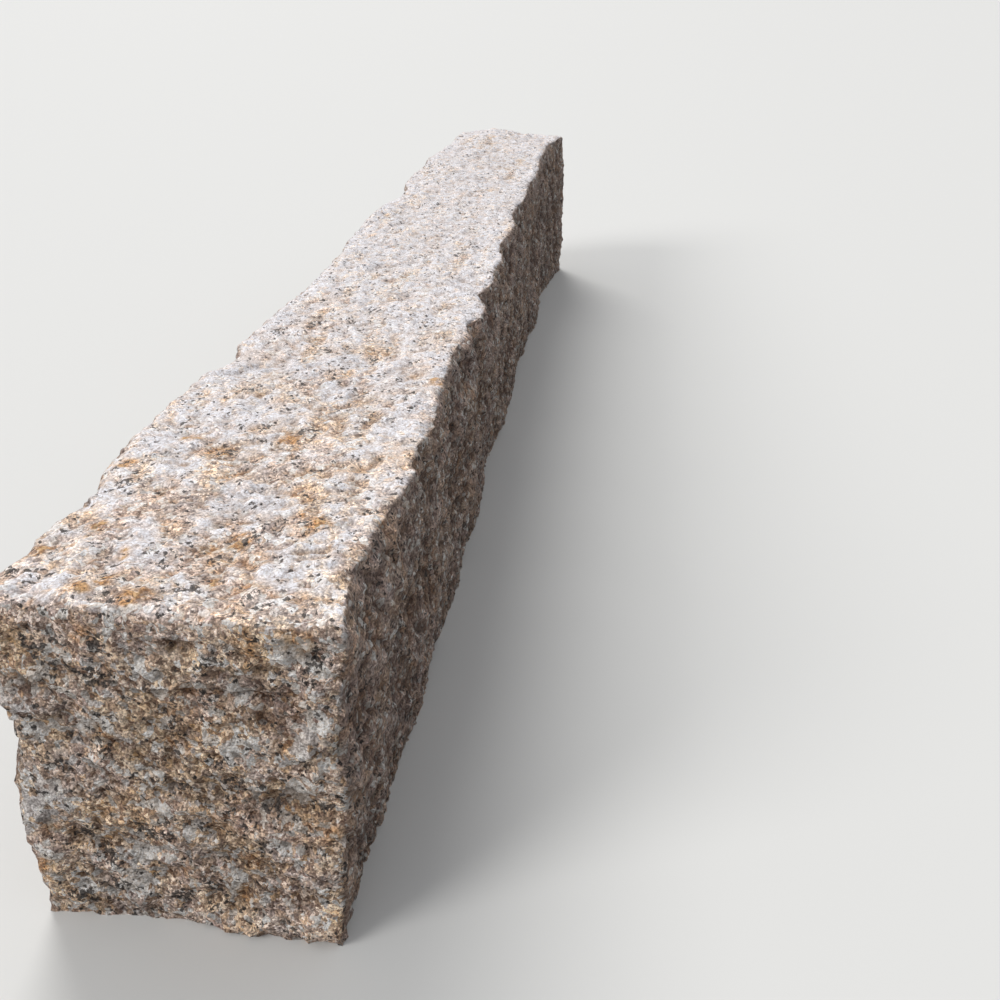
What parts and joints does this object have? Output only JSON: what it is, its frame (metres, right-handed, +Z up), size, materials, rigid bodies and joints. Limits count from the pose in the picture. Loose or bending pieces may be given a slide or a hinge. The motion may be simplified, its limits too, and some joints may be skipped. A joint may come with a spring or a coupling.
{
  "type": "granite kerb stone",
  "caption": "Rough-split yellow granite kerb stone: a long block with a pick-dressed top, hewn sides and ends, chipped arrises and a flat bed.",
  "frame": {"origin": "middle of the stone's outer box, on its bed", "axes": "+Y along the stone from the near end to the far end, +Z up from the bed to the dressed top, +X to the right seen from the near end"},
  "size_m": [0.1466, 1.003, 0.1645],
  "materials": {
    "granite": "rough split granite, yellow-beige with grey, white, black and rust-orange crystals"
  },
  "bodies": {
    "root": {"kerb_stone": "granite"}
  },
  "joints": []
}
